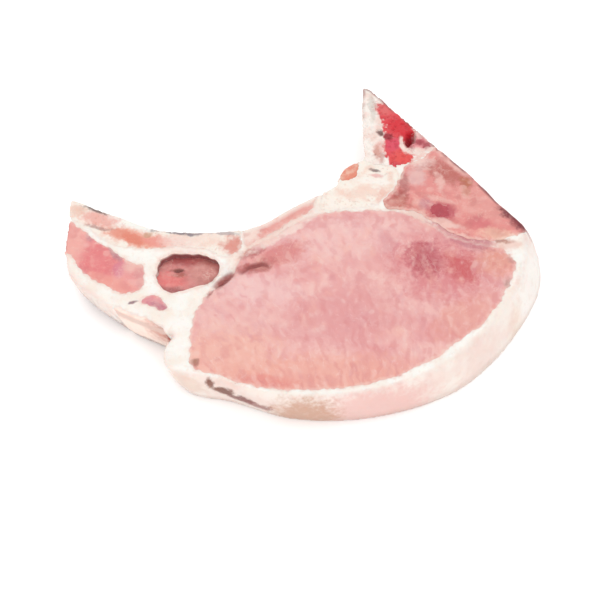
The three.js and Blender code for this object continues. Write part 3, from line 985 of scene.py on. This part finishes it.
@lru_cache(maxsize=None)
def relief_tree():
    """Geometry nodes that raise slow lumps, a finer grain and pits on a surface, and give it its finish."""
    group = bpy.data.node_groups.new("flesh relief", "GeometryNodeTree")
    group.interface.new_socket("Geometry", in_out="INPUT", socket_type="NodeSocketGeometry")
    for name in ("Lump height", "Lump size", "Lump seed", "Grain height", "Grain size", "Grain seed",
                 "Pit depth", "Pit size"):
        group.interface.new_socket(name, in_out="INPUT", socket_type="NodeSocketFloat")
    group.interface.new_socket("Finish", in_out="INPUT", socket_type="NodeSocketMaterial")
    group.interface.new_socket("Geometry", in_out="OUTPUT", socket_type="NodeSocketGeometry")
    tree = Tree(group)
    place = tree.node("GeometryNodeInputPosition")

    def given(name):
        return tree.node("NodeGroupInput", output=name)

    def waves(kind, detail):
        values = {"Vector": place, "W": given(kind + " seed"), "Scale": 1 / given(kind + " size"),
                  "Detail": detail}
        level = tree.node("ShaderNodeTexNoise", {"noise_dimensions": "4D"}, values) - 0.5
        return level * 2.0 * given(kind + " height")

    pore = tree.node("ShaderNodeTexVoronoi", {"feature": "SMOOTH_F1"},
                     {"Vector": place, "Scale": 1 / given("Pit size")})
    pit = tree.step(pore, 0.45, 0.1) * given("Pit depth")
    loose = tree.node("GeometryNodeInputNamedAttribute", {"data_type": "FLOAT"}, {"Name": "loose"})
    rise = (waves("Lump", 1.0) + waves("Grain", 2.0) - pit) * loose
    offset = tree.scaled(tree.node("GeometryNodeInputNormal"), rise)
    moved = tree.node("GeometryNodeSetPosition", values={"Geometry": given("Geometry"), "Offset": offset})
    whole = tree.node("GeometryNodeRealizeInstances", values={"Geometry": moved})
    ready = tree.node("GeometryNodeSetMaterial", values={"Geometry": whole, "Material": given("Finish")})
    tree.node("NodeGroupOutput", values={"Geometry": ready})
    return group


def settled(piece, group, values):
    """Applies a geometry tree to a piece, with the given values for its named inputs."""
    modifier = piece.modifiers.new(group.name, "NODES")
    modifier.node_group = group
    for socket in group.interface.items_tree:
        if socket.in_out == "INPUT" and socket.name in values:
            modifier[socket.identifier] = values[socket.name]
    graph = bpy.context.evaluated_depsgraph_get()
    mesh = bpy.data.meshes.new_from_object(piece.evaluated_get(graph), preserve_all_data_layers=True,
                                           depsgraph=graph)
    piece.modifiers.clear()
    piece.data = mesh


def dress(scene, node, finish):
    """Makes the piece that stands for a node."""
    shape = scene.chop_shape
    surface = SURFACES[node]
    piece = bpy.data.objects.new(f"{node}_flesh", piece_mesh(chop_plan(), node, surface, shape))
    scene.collection.objects.link(piece)
    settled(piece, relief_tree(), {
        "Lump height": shape.lump,
        "Lump size": shape.lump_size,
        "Lump seed": float(shape.seed),
        "Grain height": surface.grain * MM,
        "Grain size": surface.grain_size * MM,
        "Grain seed": float(shape.seed + 1 + list(SURFACES).index(node)),
        "Pit depth": surface.pit * MM,
        "Pit size": surface.pit_size * MM,
        "Finish": finish,
    })
    piece.data.shade_smooth()
    piece.data.set_sharp_from_angle(angle=SHARP_ANGLE)
    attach(piece, BODY)
    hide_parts(node)


# Finishes

def fat_finish(scene):
    """White cut fat, pink where it meets the muscles, with a tinted outer wall, and painted light and shade.
    """
    colours = scene.chop_colours
    fat = Finish("white_fat", scene.chop_shape.seed)
    cut = fat.blend(fat.step(fat.noise(6.0), 0.35, 0.7), colours.fat, colours.fat_cream)
    # The fat's stains, with a painted shadow under the lip of the back muscle
    cut = fat.stained(cut, FAT_STAINS_AND_SHADOW)
    cut = fat.blend(fat.flecks(1.3, 0.56) * 0.25, cut, tint("f6dacd"))
    cut = fat.blend(fat.ragged(1.1, 1.4, 2.4) * 0.4, cut, tint("f3c4b6"))
    # Clefts painted dark red, partly the flesh inside them, partly painted shade
    cut = fat.blend(fat.sunken() * 0.9, cut, tint("98302c"))
    skin_light_and_shade = fat.blend(fat.step(fat.noise(8.0, offset=4.0), 0.35, 0.65), colours.rim, colours.rim_pink)
    # The rim's stains, with painted light at its right end and painted shade along its lower left
    skin_light_and_shade = fat.stained(skin_light_and_shade, RIM_STAINS_LIGHT_AND_SHADE, RIM_LEVEL, RIM_DEPTH)
    # Painted shade at the foot of the wall under the tail
    skin_light_and_shade = fat.stained(skin_light_and_shade, FOOT_PAINTED_SHADE, FOOT_LEVEL, FOOT_DEPTH)
    skin_light_and_shade = fat.blend(fat.flecks(2.6, 0.55) * 0.2, skin_light_and_shade, tint("ecccc0"))
    # Painted shade: the outer wall darker towards its foot
    skin_light_and_shade = fat.blend(fat.step(fat.attribute("down"), 0.7, 1.0) * 0.3, skin_light_and_shade, tint("c9a698"))
    soft = (fat.noise(3.5, detail=4.0, offset=9.0) - 0.5) * 1.6
    rim = fat.step(fat.attribute("inset") + soft, 2.4, 0.4) * fat.attribute("outer")
    # The hollow's wall painted dark red-brown, partly its sheath of muscle, partly painted shade
    colour = fat.masked(fat.blend(rim, cut, skin_light_and_shade), fat.attribute("wall"), HOLLOW_SHEATH_AND_SHADE)
    rough = fat.roughness(0.4, 0.2, 3.0)
    height = fat.noise(1.1, detail=4.0, offset=7.0) + 0.5 * fat.cells(1.6, "SMOOTH_F1")
    return fat.done(colour, rough, fat.bump(height, 0.25, 0.35), 0.3, 1.6, 0.15)


def loin_finish(scene):
    """Pale pink muscle, a mosaic of fibre bundles."""
    colours = scene.chop_colours
    loin = Finish("loin_flesh", scene.chop_shape.seed)
    broad = loin.step(loin.noise(13.0, offset=1.0), 0.36, 0.64)
    colour = loin.blend(broad, colours.loin, colours.loin_pale)
    colour = loin.stained(colour, LOIN_STAINS)
    rays = loin.fanned(FIBRE_CENTRE, FIBRE_DISTANCE, 1.9)
    warm = loin.noise(3.4, rays, offset=2.0)
    colour = loin.blend(loin.step(warm, 0.52, 0.75) * 0.45, colour, tint("f5b9a8"))
    colour = loin.blend(loin.step(warm, 0.46, 0.25) * 0.35, colour, tint("d88f99"))
    colour = loin.bundles(colour, 1.5, tint("f8d2c9"), tint("d87c80"), 0.38, rays)
    colour = loin.marbled(colour, tint("fbe2d8"), 5.0, 0.03, 0.25, rays)
    colour = loin.blend(loin.flecks(1.0, 0.62, rays) * 0.2, colour, tint("fbdcd4"))
    colour = loin.blend(loin.ragged(1.3, 1.4, 2.2) * 0.5, colour, tint("f9d6ca"))
    # Clefts painted dark red-brown, partly the flesh inside them, partly painted shade
    colour = loin.blend(loin.sunken() * 0.85, colour, tint("8f3633"))
    rough = loin.roughness(0.42, 0.2, 4.0)
    height = loin.noise(0.9, rays, detail=4.0, offset=7.0) + 0.6 * loin.cells(1.5, "SMOOTH_F1", rays)
    return loin.done(colour, rough, loin.bump(height, 0.3, 0.4), 0.25, 1.4, 0.2)


def muscle_finish(scene, name):
    """A small muscle, streaked with its bundles and flecked with fat, another colour at its free edge."""
    recipe = MUSCLES[name]
    muscle = Finish(name, scene.chop_shape.seed)
    pale = tint(recipe.pale)
    # The stains of the dark muscle and the flank sheet include painted shade
    colour = muscle.stained(getattr(scene.chop_colours, recipe.colour), recipe.stains)
    colour = muscle.bundles(colour, recipe.bundle, pale, tint(recipe.deep), 0.4)
    colour = muscle.marbled(colour, tint("f8dccf"), 4.0, 0.035, 0.35)
    colour = muscle.blend(muscle.flecks(1.1, 0.6) * 0.2, colour, pale)
    colour = muscle.blend(muscle.ragged(1.1, 1.2, 2.2) * 0.5, colour, tint("f8d8cb"))
    colour = muscle.blend(muscle.brink(recipe.edge_width, 5.0) * 0.85, colour, tint(recipe.edge))
    # Clefts painted dark red-brown, partly the flesh inside them, partly painted shade
    colour = muscle.blend(muscle.step(muscle.attribute("sunk"), 0.1, 0.6) * 0.8, colour, tint("7b3c36"))
    rough = muscle.roughness(0.4, 0.2, 3.0)
    height = muscle.noise(0.8, detail=4.0, offset=7.0) + 0.6 * muscle.cells(recipe.bundle, "SMOOTH_F1")
    return muscle.done(colour, rough, muscle.bump(height, 0.3, 0.45), 0.22, 1.2, 0.2)


def dress_muscles(scene, name):
    """Makes the pieces that share one of the muscle finishes."""
    finish = muscle_finish(scene, name)
    for node in MUSCLES[name].nodes:
        dress(scene, node, finish)


def marrow_finish(scene):
    """Spongy red marrow in a pale shell of bone."""
    colours = scene.chop_colours
    marrow = Finish("marrow_bone", scene.chop_shape.seed)
    shell = marrow.blend(marrow.step(marrow.noise(4.0), 0.4, 0.7), tint("fef4ec"), tint("f6d8cd"))
    lobes = marrow.patches(MARROW_LOBES, MARROW_DEPTH)
    uneven = (marrow.noise(2.4, detail=2.0, offset=3.0) - 0.5) * 0.4
    red = marrow.step(lobes + uneven, 0.1, 0.65)
    colour = marrow.blend(red, shell, marrow.stained(colours.marrow, MARROW_REDS, depth=MARROW_DEPTH))
    sponge = marrow.step(marrow.cells(1.2, "SMOOTH_F1"), 0.5, 0.15) * red
    colour = marrow.blend(sponge * 0.22, colour, tint("b01424"))
    # Spots, and a grey stripe of painted shadow at the tip
    colour = marrow.stained(colour, MARROW_SPOTS_AND_SHADOW, depth=MARROW_DEPTH)
    colour = marrow.masked(colour, marrow.brink(1.5, 6.0), SAW_CUT, THROUGH)
    colour = marrow.masked(colour, marrow.attribute("wall"), VESSEL, THROUGH)
    rough = marrow.roughness(0.38, 0.25, 2.0)
    height = marrow.noise(0.6, detail=4.0, offset=7.0) - 0.5 * sponge
    return marrow.done(colour, rough, marrow.bump(height, 0.3, 0.5), 0.1, 0.8, 0.15)


def bone_finish(scene):
    """Cream bone, mottled pink and orange by the marrow in it."""
    bone = Finish("cut_bone", scene.chop_shape.seed)
    colour = bone.blend(bone.step(bone.noise(3.5), 0.45, 0.72), scene.chop_colours.bone, tint("f8dacb"))
    colour = bone.stained(colour, BONE_STAINS)
    pores = bone.step(bone.cells(0.9, "SMOOTH_F1"), 0.42, 0.12)
    pores = pores * bone.step(bone.noise(5.0, offset=3.0), 0.45, 0.65)
    colour = bone.blend(pores * 0.3, colour, tint("cf8a72"))
    colour = bone.blend(bone.ragged(1.0, 1.4, 2.2) * 0.4, colour, tint("fbeee4"))
    rough = bone.roughness(0.44, 0.2, 2.0)
    height = bone.noise(0.7, detail=4.0, offset=7.0) - 0.6 * pores
    return bone.done(colour, rough, bone.bump(height, 0.25, 0.45), 0.2, 1.0, 0.12)


def joint_finish(scene):
    """Wet orange-red face of the rib's joint."""
    joint = Finish("joint_face", scene.chop_shape.seed)
    colour = joint.blend(joint.step(joint.noise(2.2), 0.4, 0.65), scene.chop_colours.joint, tint("f0b8a2"))
    colour = joint.blend(joint.ragged(0.9, 1.2, 1.4) * 0.6, colour, tint("c9705c"))
    rough = joint.roughness(0.34, 0.2, 1.5)
    height = joint.noise(0.6, detail=4.0, offset=7.0)
    return joint.done(colour, rough, joint.bump(height, 0.25, 0.4), 0.2, 0.9, 0.2)


def floor_finish(scene):
    """A plain pale floor."""
    floor = Finish("pale_floor", scene.chop_shape.seed)
    colour = floor.blend(floor.noise(300.0), scene.chop_stage.floor, tint("fbfafa", 1.0))
    values = {"Base Color": colour, "Roughness": 0.9, "Specular IOR Level": 0.1}
    surface = floor.node("ShaderNodeBsdfPrincipled", values=values)
    floor.node("ShaderNodeOutputMaterial", values={"Surface": surface})
    return floor.material


# Operators

class CHOP_OT_fat(bpy.types.Operator):
    """Make the rim of fat and the seams of fat between the muscles"""

    bl_idname = "chop.fat"
    bl_label = "Fat"

    def execute(self, context):
        scene = context.scene
        dress(scene, "fat", fat_finish(scene))
        return {"FINISHED"}


class CHOP_OT_loin(bpy.types.Operator):
    """Make the large pale muscle"""

    bl_idname = "chop.loin"
    bl_label = "Loin"

    def execute(self, context):
        scene = context.scene
        dress(scene, "loin_eye", loin_finish(scene))
        return {"FINISHED"}


class CHOP_OT_back_muscles(bpy.types.Operator):
    """Make the streaked muscles beside the backbone and along the rib, with the dark oval in them"""

    bl_idname = "chop.back_muscles"
    bl_label = "Back muscles"

    def execute(self, context):
        scene = context.scene
        for name in ("back_flesh", "rib_strip_flesh", "vein_flesh"):
            dress_muscles(scene, name)
        return {"FINISHED"}


class CHOP_OT_flank_muscles(bpy.types.Operator):
    """Make the muscles of the flank"""

    bl_idname = "chop.flank_muscles"
    bl_label = "Flank muscles"

    def execute(self, context):
        scene = context.scene
        for name in ("flank_flesh", "dark_flesh", "sheet_flesh"):
            dress_muscles(scene, name)
        return {"FINISHED"}


class CHOP_OT_bones(bpy.types.Operator):
    """Make the backbone, the rib and its head and joint"""

    bl_idname = "chop.bones"
    bl_label = "Bones"

    def execute(self, context):
        scene = context.scene
        dress(scene, "chine_bone", marrow_finish(scene))
        finish = bone_finish(scene)
        for node in ("rib_head", "rib_bone"):
            dress(scene, node, finish)
        dress(scene, "rib_joint", joint_finish(scene))
        return {"FINISHED"}


class CHOP_OT_stage(bpy.types.Operator):
    """Make the pale floor, the soft light and the camera"""

    bl_idname = "chop.stage"
    bl_label = "Stage"

    FLOOR_REACH = 3.0
    LAMP_SIZE = 1.3
    KEY_PLACE = (-0.25, 0.75, 1.0)
    FILL_PLACE = (0.05, -1.1, 0.6)

    def execute(self, context):
        scene = context.scene
        self.floor(scene)
        self.light(scene)
        self.camera(scene)
        scene.view_settings.view_transform = "Standard"
        return {"FINISHED"}

    def floor(self, scene):
        reach = self.FLOOR_REACH
        mesh = bpy.data.meshes.new("floor")
        corners = [(-reach, -reach, 0), (reach, -reach, 0), (reach, reach, 0), (-reach, reach, 0)]
        mesh.from_pydata(corners, [], [(0, 1, 2, 3)])
        mesh.materials.append(floor_finish(scene))
        floor = bpy.data.objects.new("floor", mesh)
        scene.collection.objects.link(floor)

    def light(self, scene):
        stage = scene.chop_stage
        scene.world = bpy.data.worlds.new("studio")
        scene.world.use_nodes = True
        background = next(n for n in scene.world.node_tree.nodes if n.type == "BACKGROUND")
        background.inputs["Color"].default_value = (1.0, 1.0, 1.0, 1.0)
        background.inputs["Strength"].default_value = stage.sky
        for name, power, place in (("key", stage.key, self.KEY_PLACE), ("fill", stage.fill, self.FILL_PLACE)):
            light = bpy.data.lights.new(name, "AREA")
            light.energy = power
            light.size = self.LAMP_SIZE
            lamp = bpy.data.objects.new(name, light)
            lamp.location = place
            lamp.rotation_euler = (-Vector(place)).to_track_quat("-Z", "Y").to_euler()
            scene.collection.objects.link(lamp)

    def camera(self, scene):
        stage = scene.chop_stage
        lens = bpy.data.cameras.new("camera")
        lens.lens = stage.lens
        camera = bpy.data.objects.new("camera", lens)
        back = Vector((0.0, -math.cos(stage.height), math.sin(stage.height)))
        camera.location = Vector(stage.aim) + stage.distance * back
        camera.rotation_euler = (math.pi / 2 - stage.height, 0.0, 0.0)
        scene.collection.objects.link(camera)
        scene.camera = camera


OPERATORS = [CHOP_OT_fat, CHOP_OT_loin, CHOP_OT_back_muscles, CHOP_OT_flank_muscles, CHOP_OT_bones,
             CHOP_OT_stage]
GROUPS = {"chop_shape": ChopShape, "chop_colours": ChopColours, "chop_stage": ChopStage}


class CHOP_PT_panel(bpy.types.Panel):
    """Lists the steps that build the chop"""

    bl_idname = "CHOP_PT_panel"
    bl_label = "Pork rib chop"
    bl_space_type = "VIEW_3D"
    bl_region_type = "UI"
    bl_category = "Chop"

    def draw(self, context):
        for operator in OPERATORS:
            self.layout.operator(operator.bl_idname)
        for name, group in GROUPS.items():
            box = self.layout.box()
            for field in group.__annotations__:
                box.prop(getattr(context.scene, name), field)


def register():
    for name, group in GROUPS.items():
        bpy.utils.register_class(group)
        setattr(bpy.types.Scene, name, PointerProperty(type=group))
    for each in OPERATORS + [CHOP_PT_panel]:
        bpy.utils.register_class(each)


def unregister():
    for each in reversed(OPERATORS + [CHOP_PT_panel]):
        bpy.utils.unregister_class(each)
    for name, group in GROUPS.items():
        delattr(bpy.types.Scene, name)
        bpy.utils.unregister_class(group)


def main():
    register()
    bpy.ops.chop.fat()
    bpy.ops.chop.loin()
    bpy.ops.chop.back_muscles()
    bpy.ops.chop.flank_muscles()
    bpy.ops.chop.bones()
    bpy.ops.chop.stage()


if __name__ == "__main__":
    main()
